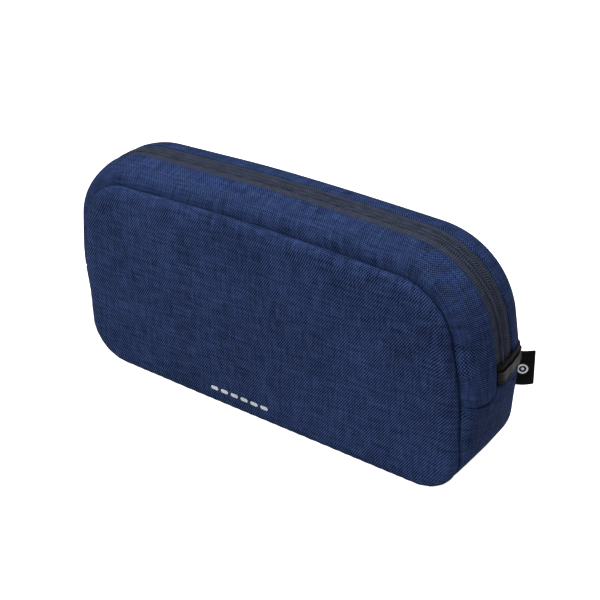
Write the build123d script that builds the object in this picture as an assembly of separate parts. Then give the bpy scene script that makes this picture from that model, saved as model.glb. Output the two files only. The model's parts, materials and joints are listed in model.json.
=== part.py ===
from build123d import *
import os
from math import atan2, cos, degrees, hypot, sin, tan

# Soft padded pouch that stands on its long edge, with a zipper over the top and part of both ends.
# X runs along the length, Y from the front panel to the rear panel, Z up.
# The origin is the middle of the base. Everything is in millimetres.

# Overall shape
base_length = 226.8         # between the seam lines, at the bottom
overall_height = 120.8      # to the crest of the zipped top
seam_spacing = 43.8         # between the front and rear seam planes
panel_crown = 6.5           # how far each padded panel stands out of its seam plane
gusset_bulge = 10.8         # how far the gusset swells past the seam outline
knee_height = 57.0          # where the sides start to lean in
knee_lean = 1.4             # the seam outline's lean in from the base to the knee
top_lean = 9.9              # the seam outline's lean in from the base to the top corners
arch_rise = 3.0             # the middle of the top above its corners
bottom_corner_radius = 22.2 # on the seam outline
top_corner_radius = 30.3    # on the seam outline
bottom_corner_ease = 1.14   # what a corner's radius gains for each unit of bulge
top_corner_ease = 1.33
knee_radius = 90.0
arch_radius = 1200.0
panel_roll_radius = 6.0     # the rolled outer edge of a panel
base_press = 0.1            # how much the gusset is pressed flat where the pouch stands

# Bulge profile across the gusset: (1 - |t| ** sharpness) ** fullness
bulge_sharpness = 1.7
bulge_fullness = 0.32
bulge_stations = [-1, -0.97, -0.9, -0.75, -0.5, -0.25, 0, 0.25, 0.5, 0.75, 0.9, 0.97, 1]

# Layers
fabric = 1.0
panel_foam = 3.0
gusset_foam = 2.5
lining = 0.6
binding_width = 3.0
binding_thickness = 1.4
body_gap = 0.3              # between pieces that part when the mouth opens

# Zipper
zip_line_y = 0.4            # the teeth's line, a little behind the middle
tape_show = 6.8             # visible width of one tape
tape_tuck = 5.0             # how far a tape runs under its strip
tape = 0.7
teeth_gap = 0.5             # half the gap between the two tapes, where the slider's post runs
coil_width = 2.1
coil_height = 1.5
strip_end_height = 49.0     # lower end of the zipper strips
tape_end_height = 57.5      # lower end of the visible tape
cover_height = 9.5          # of the ribbon over each end
cover_rise = 1.0            # from its front edge to its rear edge
cover_thickness = 1.3
cover_play = 0.3            # between an end cover and the front strip's edge
cover_stop = 2.0            # between an end cover and the rear seam
stop_height = 2.2
stop_wall = 0.5
stop_lip = 0.2
stop_drop = 9.5             # from the slider's middle down to the top stops

# Slider and pull
slider_length = 12.0
slider_width = 8.4
slider_plate = 1.3
slider_play = 0.35          # between the upper plate and the tapes
lower_plate_length = 8.0
lower_plate_width = 6.5
lower_plate_play = 0.7      # between the lower plate and the coils, over the bend
post_width = 0.5
post_length = 2.5
bridge_width = 2.4
bridge_length = 4.2
pull_pin_radius = 0.8
pull_pin_play = 0.05
pull_lift = 1.9             # the pin's axis above the upper plate
link_arm = 1.4
link_width = 6.4
link_length = 9.0
grip_width = 7.0
grip_length = 17.0
grip_thickness = 2.4
grip_socket = 2.4           # how far the link's tail runs into the grip

# Tab in the rear seam
label_height = 18.6
label_reach = 11.4
label_thickness = 1.6
label_angle = 32.0          # degrees, turned back from the length
label_middle_height = 47.4

# Printed marks
mark_length = 36.0
mark_height = 4.0
mark_x = -10.2
mark_z = 11.0
print_thickness = 0.2
label_mark_size = 6.0

# Inside
front_pocket_height = 66.0
rear_pocket_height = 40.0
mesh = 0.6
mesh_stand = 2.2            # between a panel's lining and its mesh
hem_height = 6.0
hem_extra = 0.4             # each side of the mesh
loop_count = 5
loop_width = 28.0
loop_rise = 7.0
loop_slope = 4.0
loop_spacing = 34.0
band_height = 22.0
band_thickness = 1.2
band_low = 60.0

# Worked out
base_half = base_length / 2
seam_y = seam_spacing / 2
seam_height = overall_height - gusset_bulge
knee_half = base_half - knee_lean
top_half = base_half - top_lean
corner_height = seam_height - arch_rise
arch_peak = seam_height + arch_radius * (1 / cos(atan2(arch_rise, top_half)) - 1)
crest_radius = top_corner_radius + top_corner_ease * gusset_bulge
panel_stack = fabric + panel_foam + lining
gusset_stack = fabric + gusset_foam + lining
coil_inner = fabric + tape + coil_height
far = base_length


def outline_corners(inset, bulge, press=0.0):
    """Corner points (x, z) of the outline, anticlockwise from the lower left, and their radii."""
    swell = bulge - inset
    base = base_half - inset
    knee = knee_half + swell
    top = top_half + swell
    points = [
        (-base, inset - press),
        (base, inset - press),
        (knee, knee_height),
        (top, corner_height + swell),
        (0, arch_peak + swell),
        (-top, corner_height + swell),
        (-knee, knee_height),
    ]
    bottom = bottom_corner_radius + bottom_corner_ease * bulge - inset
    corner = top_corner_radius + top_corner_ease * bulge - inset
    radii = [bottom, bottom, knee_radius, corner, arch_radius, corner, knee_radius]
    return points, radii


def outline(y, inset=0.0, bulge=0.0, press=0.0):
    """The pouch's outline as a face in the plane at y."""
    points, radii = outline_corners(inset, bulge, press)
    flat = make_face(FilletPolyline(*points, radius=radii, close=True))
    return Plane(origin=(0, y, 0), x_dir=(1, 0, 0), z_dir=(0, -1, 0)) * flat


def gusset_block(inset):
    """Solid bounded by the gusset, `inset` inside its outer face, from seam plane to seam plane."""
    sections = []
    for t in bulge_stations:
        share = max(0.0, 1 - abs(t) ** bulge_sharpness) ** bulge_fullness
        sections.append(outline(t * seam_y, inset, gusset_bulge * share, base_press))
    return loft(sections, ruled=True) & span(-far, far, inset)


def panel_block(inset, side):
    """Solid under a padded panel, `inset` inside its outer face. side is -1 in front, 1 behind."""
    block = extrude(outline(side * seam_y, inset), amount=panel_crown - inset, dir=(0, side, 0))
    outer_face = block.faces().sort_by(Axis.Y)[0 if side < 0 else -1]
    return fillet(outer_face.edges(), panel_roll_radius - inset)


def span(y_from, y_to, z_from, z_to=far, x_from=-far, x_to=far):
    """Cutting box between the given limits."""
    return Pos((x_from + x_to) / 2, (y_from + y_to) / 2, (z_from + z_to) / 2) * Box(
        x_to - x_from, y_to - y_from, z_to - z_from
    )


def shell(outer, inner):
    """Gusset layer between two insets, all round."""
    return blocks[outer] - blocks[inner]


def write(name, shape):
    solids = shape.solids()
    export_step(Compound(children=list(solids)) if len(solids) > 1 else solids[0], f"parts/{name}.step")


def side_y(side, y):
    """A distance y outward from the zipper line, on the given side of it."""
    return zip_line_y + side * y


def zip_half(side, inner_edge, outer_y, layer, low):
    """The part of a layer that lies on one side of the zipper, down to a height."""
    edge = side_y(side, inner_edge)
    outer = side * outer_y
    return layer & span(min(edge, outer), max(edge, outer), low)


def bend_frame():
    """Centre (x, z) of the left top bend at the crest, and the lean of its outward normal."""
    points, radii = outline_corners(0.0, gusset_bulge)
    knee, corner, crest = points[6], points[5], points[4]
    side_direction = (corner[0] - knee[0], corner[1] - knee[1])
    lean = atan2(side_direction[0], side_direction[1])
    top_slope = atan2(crest[1] - corner[1], crest[0] - corner[0])
    turn = atan2(side_direction[1], side_direction[0]) - top_slope
    tangent = radii[5] * tan(turn / 2)
    length = hypot(*side_direction)
    start_x = corner[0] - side_direction[0] / length * tangent
    start_z = corner[1] - side_direction[1] / length * tangent
    centre = (start_x + radii[5] * cos(lean), start_z - radii[5] * sin(lean))
    return centre, lean, turn


def slider_plane():
    """Frame at the bend's centre: local x is Y, local y runs down the side, local z points out."""
    (x, z), lean, _ = bend_frame()
    return Plane(origin=(x, zip_line_y, z), x_dir=(0, 1, 0), z_dir=(-cos(lean), 0, sin(lean)))


def slider_box(width, length, low, high, along=0.0, across=0.0):
    """Box in the slider's frame between two radii from the bend's centre."""
    return Pos(across, along, (low + high) / 2) * Box(width, length, high - low)


def slider_body():
    tape_top = crest_radius - fabric
    upper_low = tape_top + slider_play
    upper_high = upper_low + slider_plate
    lower_high = crest_radius - coil_inner - lower_plate_play
    lower_low = lower_high - slider_plate
    post_along = (lower_plate_length - post_length) / 2
    body = slider_box(slider_width, slider_length, upper_low, upper_high)
    body = fillet(body.edges().filter_by(Axis.Z), slider_width / 3)
    body += slider_box(lower_plate_width, lower_plate_length, lower_low, lower_high)
    body += slider_box(post_width, post_length, lower_low, upper_high, post_along)
    pin_radius = upper_high + pull_lift
    bridge_top = pin_radius + pull_pin_radius + slider_plate / 2
    bridge = slider_box(bridge_width, bridge_length, upper_low, bridge_top)
    bore = Pos(0, 0, pin_radius) * Rot(0, 90, 0) * Cylinder(pull_pin_radius + pull_pin_play, slider_width)
    return body + bridge - bore


def pin_height():
    """Radius of the pull pin's axis from the bend's centre."""
    return crest_radius - fabric + slider_play + slider_plate + pull_lift


def pull_link():
    pin_radius = pin_height()
    pin = Pos(0, 0, pin_radius) * Rot(0, 90, 0) * Cylinder(pull_pin_radius, link_width)
    half = link_arm / 2
    link = pin
    for hand in (-1, 1):
        across = hand * (link_width - link_arm) / 2
        link += slider_box(
            link_arm, link_length, pin_radius - half, pin_radius + half, link_length / 2, across
        )
    tail = slider_box(
        link_width, link_arm, pin_radius - half, pin_radius + half, link_length - half
    )
    return link + tail


def pull_grip():
    """Moulded grip, closed round the link's tail."""
    pin_radius = pin_height()
    start = link_length - grip_socket
    middle = start + grip_length / 2
    half = grip_thickness / 2
    grip = slider_box(grip_width, grip_length, pin_radius - half, pin_radius + half, middle)
    grip = fillet(grip.edges().filter_by(Axis.Z), grip_width / 4)
    grip = chamfer(grip.faces().sort_by(Axis.Z)[-1].edges(), grip_thickness / 6)
    return grip - pull_link()


def end_cover(hand):
    """Folded ribbon over the zipper's end, from the front strip's edge across the rear strip."""
    front_edge = side_y(-1, tape_show - cover_play)
    rear_edge = seam_y - cover_stop
    low_rear = tape_end_height + cover_rise
    profile = Polyline(
        (front_edge, tape_end_height),
        (rear_edge, low_rear),
        (rear_edge, low_rear + cover_height),
        (front_edge, tape_end_height + cover_height),
        close=True,
    )
    room = extrude(make_face(Plane.YZ * profile), amount=far, dir=(hand, 0, 0))
    return (blocks[-cover_thickness] - blocks[0.0]) & room


def bottom_zone():
    """Room of the bottom gusset: under the strips, with a tongue up to the tape's end."""
    under = span(-seam_y + body_gap, seam_y, -1, strip_end_height - body_gap)
    tongue = span(
        side_y(-1, tape_show - body_gap),
        side_y(1, tape_show - body_gap),
        strip_end_height - 1,
        tape_end_height - body_gap,
    )
    return under + tongue


def coil(side):
    layer = shell(fabric + tape, coil_inner)
    inner = side_y(side, teeth_gap)
    outer = side_y(side, teeth_gap + coil_width)
    (_, bend_z), _, _ = bend_frame()
    left_low = bend_z - stop_drop + stop_height / 2
    right_low = tape_end_height + stop_height
    low_y, high_y = min(inner, outer), max(inner, outer)
    left = span(low_y, high_y, left_low, far, -far, 0)
    right = span(low_y, high_y, right_low, far, 0, far)
    return layer & (left + right)


def zip_tape(side):
    layer = shell(fabric, fabric + tape)
    return zip_half(side, teeth_gap, abs(side_y(side, tape_show)) + tape_tuck, layer, tape_end_height)


def top_stop(side):
    """Stop crimped round a tape's edge under the parked slider."""
    (_, bend_z), _, _ = bend_frame()
    middle = bend_z - stop_drop
    layer = shell(fabric - stop_wall, fabric + tape + stop_wall * 2)
    inner = side_y(side, teeth_gap - stop_lip)
    outer = side_y(side, teeth_gap + coil_width)
    cut = span(
        min(inner, outer), max(inner, outer), middle - stop_height / 2, middle + stop_height / 2, -far, 0
    )
    return (layer & cut) - zip_tape(side)


def bottom_stop():
    """Stop on the rear tape at the zipper's right end, under the end cover."""
    layer = shell(fabric + tape, fabric + tape + stop_wall * 2)
    cut = span(
        side_y(1, teeth_gap),
        side_y(1, teeth_gap + coil_width),
        tape_end_height,
        tape_end_height + stop_height,
        0,
        far,
    )
    return layer & cut


def seam_binding(side):
    """Bound seam allowance inside one seam, inward from where the panel's edge starts to roll."""
    start = side * (seam_y + panel_crown - panel_roll_radius)
    inward = (0, -side, 0)
    ring = extrude(outline(start, panel_stack), amount=binding_width, dir=inward)
    hole = extrude(outline(start, panel_stack + binding_thickness), amount=binding_width, dir=inward)
    gusset_zone = span(-seam_y, seam_y, 0) - blocks[gusset_stack + body_gap]
    return ring - hole - gusset_zone


def lining_y():
    """Distance of a panel lining's inner face from the middle."""
    return seam_y + panel_crown - panel_stack


def mesh_pocket(side, height):
    face_y = lining_y() - mesh_stand
    inset = panel_stack + binding_thickness
    sheet = extrude(outline(side * face_y, inset), amount=mesh, dir=(0, -side, 0))
    return sheet & span(-far, far, 0, height)


def pocket_hem(side, height):
    face_y = lining_y() - mesh_stand
    inset = panel_stack + binding_thickness
    strip = extrude(
        outline(side * (face_y + hem_extra), inset), amount=mesh + 2 * hem_extra, dir=(0, -side, 0)
    )
    return strip & span(-far, far, height, height + hem_height)


def cable_band():
    """Elastic band sewn to the rear lining in a row of loops."""
    back = lining_y()
    band = None
    for i in range(loop_count):
        x = (i - (loop_count - 1) / 2) * loop_spacing
        half = loop_width / 2
        outer = Polygon(
            (x - half, back),
            (x - half + loop_slope, back - loop_rise),
            (x + half - loop_slope, back - loop_rise),
            (x + half, back),
            align=None,
        )
        inner = Polygon(
            (x - half + band_thickness, back),
            (x - half + loop_slope + band_thickness, back - loop_rise + band_thickness),
            (x + half - loop_slope - band_thickness, back - loop_rise + band_thickness),
            (x + half - band_thickness, back),
            align=None,
        )
        loop = outer - inner
        band = loop if band is None else band + loop
    for i in range(loop_count + 1):
        x = (i - loop_count / 2) * loop_spacing
        flat = loop_spacing - loop_width + 2 * band_thickness
        band += Pos(x, back - band_thickness / 2) * Rectangle(flat, band_thickness)
    return Pos(0, 0, band_low) * extrude(band, amount=band_height)


def label_plane():
    """Frame at the rear seam on the right: local x points out of the seam, local z is up."""
    x = base_half - knee_lean * label_middle_height / knee_height
    turned = Plane(origin=(x, seam_y, label_middle_height), x_dir=(1, 0, 0), z_dir=(0, 0, 1))
    return turned.rotated((0, 0, label_angle))


def side_label():
    """Folded woven tab, from where it leaves the rear seam."""
    tab = Pos(label_reach / 2, 0, 0) * Box(label_reach, label_thickness, label_height)
    tab = fillet(tab.edges().filter_by(Axis.Z).sort_by(Axis.X)[-2:], label_thickness * 0.45)
    return label_plane() * tab - blocks[0.0] - panel_block(0, 1)


def label_mark():
    """Plain square print on the tab's front face."""
    y = -(label_thickness + print_thickness) / 2
    return Pos(label_reach * 0.5, y, 0) * Box(label_mark_size, print_thickness, label_mark_size)


def front_mark():
    """Plain printed bar with round ends, low on the front panel."""
    y = -seam_y - panel_crown
    plane = Plane(origin=(mark_x, y, mark_z), x_dir=(1, 0, 0), z_dir=(0, -1, 0))
    return extrude(plane * SlotOverall(mark_length, mark_height), amount=print_thickness)


os.makedirs("parts", exist_ok=True)

insets = [
    -cover_thickness,
    0.0,
    fabric - stop_wall,
    fabric,
    fabric + tape,
    fabric + tape + stop_wall * 2,
    coil_inner,
    fabric + gusset_foam,
    gusset_stack,
    gusset_stack + body_gap,
]
blocks = {inset: gusset_block(inset) for inset in insets}

for side, word in ((-1, "front"), (1, "rear")):
    write(f"{word}_panel", panel_block(0, side) - panel_block(fabric, side))
    write(f"{word}_foam_pad", panel_block(fabric, side) - panel_block(fabric + panel_foam, side))
    write(f"{word}_lining", panel_block(fabric + panel_foam, side) - panel_block(panel_stack, side))
    write(f"{word}_seam_binding", seam_binding(side))
    strip = zip_half(side, tape_show, seam_y, shell(0.0, fabric), strip_end_height)
    write(f"{word}_zip_strip", strip)
    foam_layer = shell(fabric, fabric + gusset_foam)
    foam_edge = tape_show + tape_tuck + body_gap
    write(f"{word}_strip_foam", zip_half(side, foam_edge, seam_y, foam_layer, strip_end_height))
    lining_layer = shell(fabric + gusset_foam, gusset_stack)
    write(f"{word}_strip_lining", zip_half(side, tape_show, seam_y, lining_layer, strip_end_height))
    write(f"{word}_zip_tape", zip_tape(side))
    write(f"{word}_coil", coil(side))
    write(f"{word}_top_stop", top_stop(side))

write("bottom_gusset", shell(0.0, fabric) & bottom_zone())
write("bottom_gusset_foam", shell(fabric, fabric + gusset_foam) & bottom_zone())
write("bottom_gusset_lining", shell(fabric + gusset_foam, gusset_stack) & bottom_zone())
write("zip_bottom_stop", bottom_stop())
write("left_zip_end_cover", end_cover(-1))
write("right_zip_end_cover", end_cover(1))

write("slider_body", slider_plane() * slider_body())
write("pull_link", slider_plane() * pull_link())
write("pull_grip", slider_plane() * pull_grip())

write("side_label", side_label())
write("side_label_mark", label_plane() * label_mark())
write("front_mark", front_mark())

write("front_mesh_pocket", mesh_pocket(-1, front_pocket_height))
write("front_pocket_hem", pocket_hem(-1, front_pocket_height))
write("rear_mesh_pocket", mesh_pocket(1, rear_pocket_height))
write("rear_pocket_hem", pocket_hem(1, rear_pocket_height))
write("cable_loop_band", cable_band())

(bend_x, bend_z), bend_lean, bend_turn = bend_frame()
pin = slider_plane() * Pos(0, 0, pin_height())
print(f"left bend centre x {bend_x:.3f} z {bend_z:.3f}, turn {degrees(bend_turn):.2f} degrees")
print(f"pull pin x {pin.position.X:.3f} y {pin.position.Y:.3f} z {pin.position.Z:.3f}")
print(f"mouth hinge y {-(seam_y + panel_crown):.3f} z 0")
print(f"loop inside: y {lining_y() - loop_rise + band_thickness:.2f} to {lining_y():.2f}")
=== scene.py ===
import json
import math

import bmesh
import bpy
import numpy as np
from mathutils import Matrix, Vector, noise
from mathutils.bvhtree import BVHTree


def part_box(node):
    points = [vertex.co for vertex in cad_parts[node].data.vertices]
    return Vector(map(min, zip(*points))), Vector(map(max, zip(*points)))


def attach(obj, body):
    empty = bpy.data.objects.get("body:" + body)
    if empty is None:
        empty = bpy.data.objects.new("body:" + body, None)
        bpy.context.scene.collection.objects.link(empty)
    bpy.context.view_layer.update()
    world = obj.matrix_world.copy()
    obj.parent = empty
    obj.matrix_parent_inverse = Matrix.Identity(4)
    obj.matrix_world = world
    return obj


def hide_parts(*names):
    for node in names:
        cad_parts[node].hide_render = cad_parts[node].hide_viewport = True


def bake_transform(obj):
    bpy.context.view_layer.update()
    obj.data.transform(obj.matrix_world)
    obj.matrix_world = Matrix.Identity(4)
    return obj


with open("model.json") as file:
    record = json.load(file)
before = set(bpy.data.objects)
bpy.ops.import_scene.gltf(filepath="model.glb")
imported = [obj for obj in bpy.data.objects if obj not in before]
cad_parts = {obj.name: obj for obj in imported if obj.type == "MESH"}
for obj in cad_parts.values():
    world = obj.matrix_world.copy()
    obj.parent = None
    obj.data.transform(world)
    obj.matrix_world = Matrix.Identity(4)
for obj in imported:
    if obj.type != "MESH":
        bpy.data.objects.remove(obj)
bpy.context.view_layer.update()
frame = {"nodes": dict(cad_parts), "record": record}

# ---------------------------------------------------------------- sizes, in metres

BASE_HALF = 0.1134          # seam outline, half its length at the base
KNEE_HALF = 0.1120
KNEE_HEIGHT = 0.057
TOP_HALF = 0.1035
CREST_HEIGHT = 0.1208
BULGE = 0.0108              # the gusset stands this far past the seam outline
ARCH_RISE = 0.003
ARCH_RADIUS = 1.2
BOTTOM_RADIUS = 0.0222      # of the seam outline's corners
CORNER_RADIUS = 0.0303
BOTTOM_EASE = 1.14          # what a corner's radius gains with the bulge
CORNER_EASE = 1.33
KNEE_RADIUS = 0.090
BULGE_SHARPNESS = 1.7
BULGE_FULLNESS = 0.32

SEAM_Y = -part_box("front_panel")[1].y
PANEL_CROWN = -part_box("front_panel")[0].y - SEAM_Y
ROLL_WIDTH = 0.0085         # how far in from the seam a panel's edge is rolled
ROLL_SHARE = 0.82           # the roll's share of the panel's crown
SEAM_TUCK = 0.0012          # how deep fabric turns into a seam
SEAM_TURN = 0.0021          # over this width

FABRIC = 0.001
FOAM_INNER = 0.0035
LINING_INNER = 0.0041
PANEL_FOAM_INNER = 0.004
PANEL_LINING_INNER = 0.0046

ZIP_Y = 0.0004              # the zipper's line
TAPE_SHOW = 0.0068
TAPE_TUCK = 0.005
TAPE = 0.0007
TEETH_GAP = 0.0003
TOOTH_PITCH = 0.00125
STRIP_END = 0.0490          # height of the strips' lower ends
STRIP_CORNER = 0.007        # radius of their lower corner beside the zipper
TAPE_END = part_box("front_zip_tape")[0].z

FRONT, REAR = -1, 1
WORDS = {FRONT: "front", REAR: "rear"}


# ---------------------------------------------------------------- outline

def fillet_arc(before, corner, after, radius, steps):
    """Points of the arc that rounds a corner, from tangent to tangent."""
    before, corner, after = (np.array(p, float) for p in (before, corner, after))
    into = (corner - before) / np.linalg.norm(corner - before)
    out = (after - corner) / np.linalg.norm(after - corner)
    turn = math.atan2(into[0] * out[1] - into[1] * out[0], into @ out)
    start = corner - into * radius * math.tan(abs(turn) / 2)
    left = np.array([-into[1], into[0]]) * math.copysign(1.0, turn)
    centre = start + left * radius
    x, z = start - centre
    return np.array([
        centre + [x * math.cos(a) - z * math.sin(a), x * math.sin(a) + z * math.cos(a)]
        for a in np.linspace(0, turn, steps)
    ])


def run(start, end, steps):
    """Evenly spaced points from start to just before end."""
    share = np.linspace(0, 1, steps, endpoint=False)[1:, None]
    return start + (end - start) * share


def outline(bulge, inset=0.0):
    """Closed outline (x, z), anticlockwise from the middle of the base.

    Every outline has the same points in the same order.
    """
    swell = bulge - inset
    seam_top = CREST_HEIGHT - BULGE
    peak = seam_top + ARCH_RADIUS * (1 / math.cos(math.atan2(ARCH_RISE, TOP_HALF)) - 1) + swell
    middle = (0.0, inset)
    base = (BASE_HALF - inset, inset)
    knee = (KNEE_HALF + swell, KNEE_HEIGHT)
    corner = (TOP_HALF + swell, seam_top - ARCH_RISE + swell)
    top = (0.0, peak)
    far_side = (-corner[0], corner[1])
    arcs = [
        fillet_arc(middle, base, knee, BOTTOM_RADIUS + BOTTOM_EASE * bulge - inset, 22),
        fillet_arc(base, knee, corner, KNEE_RADIUS, 12),
        fillet_arc(knee, corner, top, CORNER_RADIUS + CORNER_EASE * bulge - inset, 40),
        fillet_arc(corner, top, far_side, ARCH_RADIUS, 25)[:13],
    ]
    parts = [np.array([middle]), run(np.array(middle), arcs[0][0], 60), arcs[0]]
    for first, second, steps in ((0, 1, 8), (1, 2, 16), (2, 3, 24)):
        parts += [run(arcs[first][-1], arcs[second][0], steps), arcs[second]]
    half = np.concatenate(parts)
    other = half[1:-1][::-1] * [-1, 1]
    return np.concatenate([half, other])


def closed(points):
    return np.concatenate([points, points[:1]])


def path_lengths(points):
    """Distance along a line of points, at each of them."""
    return np.concatenate([[0], np.cumsum(np.linalg.norm(np.diff(points, axis=0), axis=1))])


def unit(vectors):
    return vectors / np.linalg.norm(vectors, axis=1, keepdims=True)


crest = closed(outline(BULGE))
crest_run = path_lengths(crest)
PERIMETER = crest_run[-1]


def bulge_at(y):
    """How far the gusset stands past the seam outline at depth y."""
    t = min(abs(y) / SEAM_Y, 1.0)
    return BULGE * max(0.0, 1 - t ** BULGE_SHARPNESS) ** BULGE_FULLNESS


def place(lengths, bulge, inset=0.0):
    """(x, z) at lengths measured round the crest, on the outline of that bulge and inset."""
    table = closed(outline(bulge, inset))
    lengths = np.mod(lengths, PERIMETER)
    return np.stack([np.interp(lengths, crest_run, table[:, axis]) for axis in (0, 1)], -1)


def length_at(height):
    """Length round the crest where the right end reaches a height. The left end is PERIMETER minus it."""
    quarter = len(crest) // 2
    rising = crest[:quarter, 1]
    return float(np.interp(height, rising, crest_run[:quarter]))


# ---------------------------------------------------------------- meshes

def new_piece(name, verts, faces, uvs=None, material=None, smooth=True):
    """A mesh object at the origin, its faces turned outward, with its cloth coordinates in metres."""
    mesh = bpy.data.meshes.new(name)
    mesh.from_pydata([tuple(v) for v in verts], [], faces)
    if uvs is not None:
        layer = mesh.uv_layers.new(name="cloth")
        index = np.zeros(len(mesh.loops), np.int32)
        mesh.loops.foreach_get("vertex_index", index)
        layer.data.foreach_set("uv", np.asarray(uvs, np.float32)[index].ravel())
    bm = bmesh.new()
    bm.from_mesh(mesh)
    bmesh.ops.recalc_face_normals(bm, faces=bm.faces)
    bm.to_mesh(mesh)
    bm.free()
    if smooth:
        mesh.shade_smooth()
    piece = bpy.data.objects.new(name, mesh)
    bpy.context.scene.collection.objects.link(piece)
    if material:
        mesh.materials.append(material)
    return piece


def grid_shell(name, outer, inner, uv, material):
    """Closed shell between two grids of points of the same size."""
    rows, columns = outer.shape[:2]
    verts = np.concatenate([outer.reshape(-1, 3), inner.reshape(-1, 3)])
    uvs = np.concatenate([uv.reshape(-1, 2)] * 2)
    under = rows * columns
    faces = []
    for i in range(rows - 1):
        for j in range(columns - 1):
            a, b = i * columns + j, (i + 1) * columns + j
            faces.append((a, a + 1, b + 1, b))
            faces.append((under + a, under + b, under + b + 1, under + a + 1))
    rim = [j for j in range(columns)]
    rim += [i * columns + columns - 1 for i in range(1, rows)]
    rim += [(rows - 1) * columns + j for j in range(columns - 2, -1, -1)]
    rim += [i * columns for i in range(rows - 2, 0, -1)]
    for a, b in zip(rim, rim[1:] + rim[:1]):
        faces.append((a, b, under + b, under + a))
    return new_piece(name, verts, faces, uvs, material)


def ring_shell(name, outer, inner, uv, uv_middle, material):
    """Closed dished shell from rings of points that end in a middle point.

    outer and inner are (rings, points, 3).
    """
    rings, count = outer.shape[:2]
    verts, uvs, faces = [], [], []
    starts = []
    for rows in (outer, inner):
        starts.append(len(verts))
        verts += list(rows.reshape(-1, 3)) + [rows[-1].mean(0)]
        uvs += list(uv.reshape(-1, 2)) + [uv_middle]
    for start, flip in zip(starts, (False, True)):
        for k in range(rings - 1):
            for j in range(count):
                a, b = start + k * count + j, start + k * count + (j + 1) % count
                quad = (a, b, b + count, a + count)
                faces.append(quad[::-1] if flip else quad)
        last, pole = start + (rings - 1) * count, start + rings * count
        for j in range(count):
            fan = (last + j, last + (j + 1) % count, pole)
            faces.append(fan[::-1] if flip else fan)
    for j in range(count):
        a, b = j, (j + 1) % count
        faces.append((b, a, starts[1] + a, starts[1] + b))
    return new_piece(name, verts, faces, uvs, material)


def edge_spacing(width, pitch, fine=(0, 0.0002, 0.0005, 0.0009, 0.0015, 0.0023, 0.0034)):
    """Distances across a strip, close together at both edges."""
    fine = [d for d in fine if d < width / 2]
    count = max(2, int(round((width - 2 * fine[-1]) / pitch)) + 1)
    middle = np.linspace(fine[-1], width - fine[-1], count)
    return np.concatenate([fine[:-1], middle, [width - d for d in fine[:-1]][::-1]])


def turned_in(distance, width=SEAM_TURN, depth=SEAM_TUCK):
    """How far a fabric's face sinks at a distance from its sewn edge."""
    near = np.clip(1 - np.asarray(distance) / width, 0, 1)
    return depth * (1 - np.sqrt(np.clip(1 - near ** 2, 0, 1)))


def soften(points, amount, size, seed):
    """Slow unevenness of a padded fabric, the same every run."""
    shift = Vector((seed * 3.1, seed * 1.7, seed * 5.3))
    heights = [noise.noise(Vector(p) / size + shift) * amount for p in points.reshape(-1, 3)]
    return np.array(heights).reshape(points.shape[:-1])


# ---------------------------------------------------------------- materials

def linear(red, green, blue):
    """An sRGB colour, 0 to 255, as the shader takes it."""
    def one(c):
        c /= 255
        return c / 12.92 if c <= 0.04045 else ((c + 0.055) / 1.055) ** 2.4
    return (one(red), one(green), one(blue), 1.0)


class Recipe:
    """A material being put together from nodes."""

    def __init__(self, name, roughness=0.8, specular=0.3, metallic=0.0):
        self.material = bpy.data.materials.new(name)
        self.material.use_nodes = True
        self.tree = self.material.node_tree
        self.shader = self.tree.nodes["Principled BSDF"]
        self.shader.inputs["Roughness"].default_value = roughness
        self.shader.inputs["Specular IOR Level"].default_value = specular
        self.shader.inputs["Metallic"].default_value = metallic

    def node(self, kind, **settings):
        made = self.tree.nodes.new(kind)
        for key, value in settings.items():
            setattr(made, key, value)
        return made

    def link(self, source, target):
        self.tree.links.new(source, target)

    def feed(self, socket, value):
        if isinstance(value, bpy.types.NodeSocket):
            self.link(value, socket)
        else:
            socket.default_value = value

    def math(self, operation, first, second=0.0, third=0.0):
        made = self.node("ShaderNodeMath", operation=operation)
        for socket, value in zip(made.inputs, (first, second, third)):
            self.feed(socket, value)
        return made.outputs[0]

    def cloth_axes(self):
        """The piece's cloth coordinates: along and across, in metres."""
        coordinates = self.node("ShaderNodeUVMap", uv_map="cloth")
        split = self.node("ShaderNodeSeparateXYZ")
        self.link(coordinates.outputs["UV"], split.inputs[0])
        return split.outputs["X"], split.outputs["Y"]

    def object_point(self):
        return self.node("ShaderNodeTexCoord").outputs["Object"]

    def wave(self, along, pitch, phase=0.0):
        turned = self.math("MULTIPLY_ADD", along, 2 * math.pi / pitch, phase)
        return self.math("SINE", turned)

    def grain(self, point, scale, detail=2.0, roughness=0.5):
        made = self.node("ShaderNodeTexNoise", noise_dimensions="3D")
        made.inputs["Scale"].default_value = scale
        made.inputs["Detail"].default_value = detail
        made.inputs["Roughness"].default_value = roughness
        self.link(point, made.inputs["Vector"])
        return made.outputs["Fac"]

    def stretched(self, along, across, along_scale, across_scale):
        """Noise drawn out along the yarns."""
        joined = self.node("ShaderNodeCombineXYZ")
        self.link(self.math("MULTIPLY", along, along_scale), joined.inputs["X"])
        self.link(self.math("MULTIPLY", across, across_scale), joined.inputs["Y"])
        return self.grain(joined.outputs[0], 1.0, 1.0)

    def blend_colours(self, share, dark, light):
        made = self.node("ShaderNodeMix", data_type="RGBA")
        self.feed(made.inputs["Factor"], share)
        self.feed(made.inputs["A"], dark)
        self.feed(made.inputs["B"], light)
        return made.outputs["Result"]

    def colour(self, value):
        self.feed(self.shader.inputs["Base Color"], value)

    def relief(self, height, distance, strength=1.0):
        made = self.node("ShaderNodeBump")
        made.inputs["Strength"].default_value = strength
        made.inputs["Distance"].default_value = distance
        self.feed(made.inputs["Height"], height)
        self.link(made.outputs["Normal"], self.shader.inputs["Normal"])


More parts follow.
